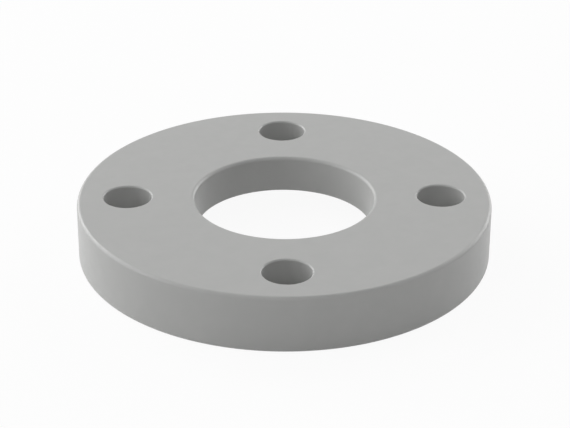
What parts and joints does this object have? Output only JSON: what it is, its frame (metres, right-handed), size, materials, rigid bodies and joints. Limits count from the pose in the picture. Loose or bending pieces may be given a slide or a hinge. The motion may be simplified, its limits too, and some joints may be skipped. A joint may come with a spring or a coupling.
{
  "type": "pipe flange",
  "caption": "Loose backing flange for plastic pipe: a flat moulded ring with a bore, bolt holes, rounded edges and a hollowed underside.",
  "frame": {"origin": "centre of the bore in the plane of the rim's lower face, on which the flange stands", "axes": "+Z along the bore towards the flat face; bolt holes lie on the X and Y axes"},
  "size_m": [0.165, 0.165, 0.0234],
  "materials": {
    "grey_plastic": "satin moulded, light grey"
  },
  "bodies": {
    "root": {"flange": "grey_plastic"}
  },
  "joints": []
}
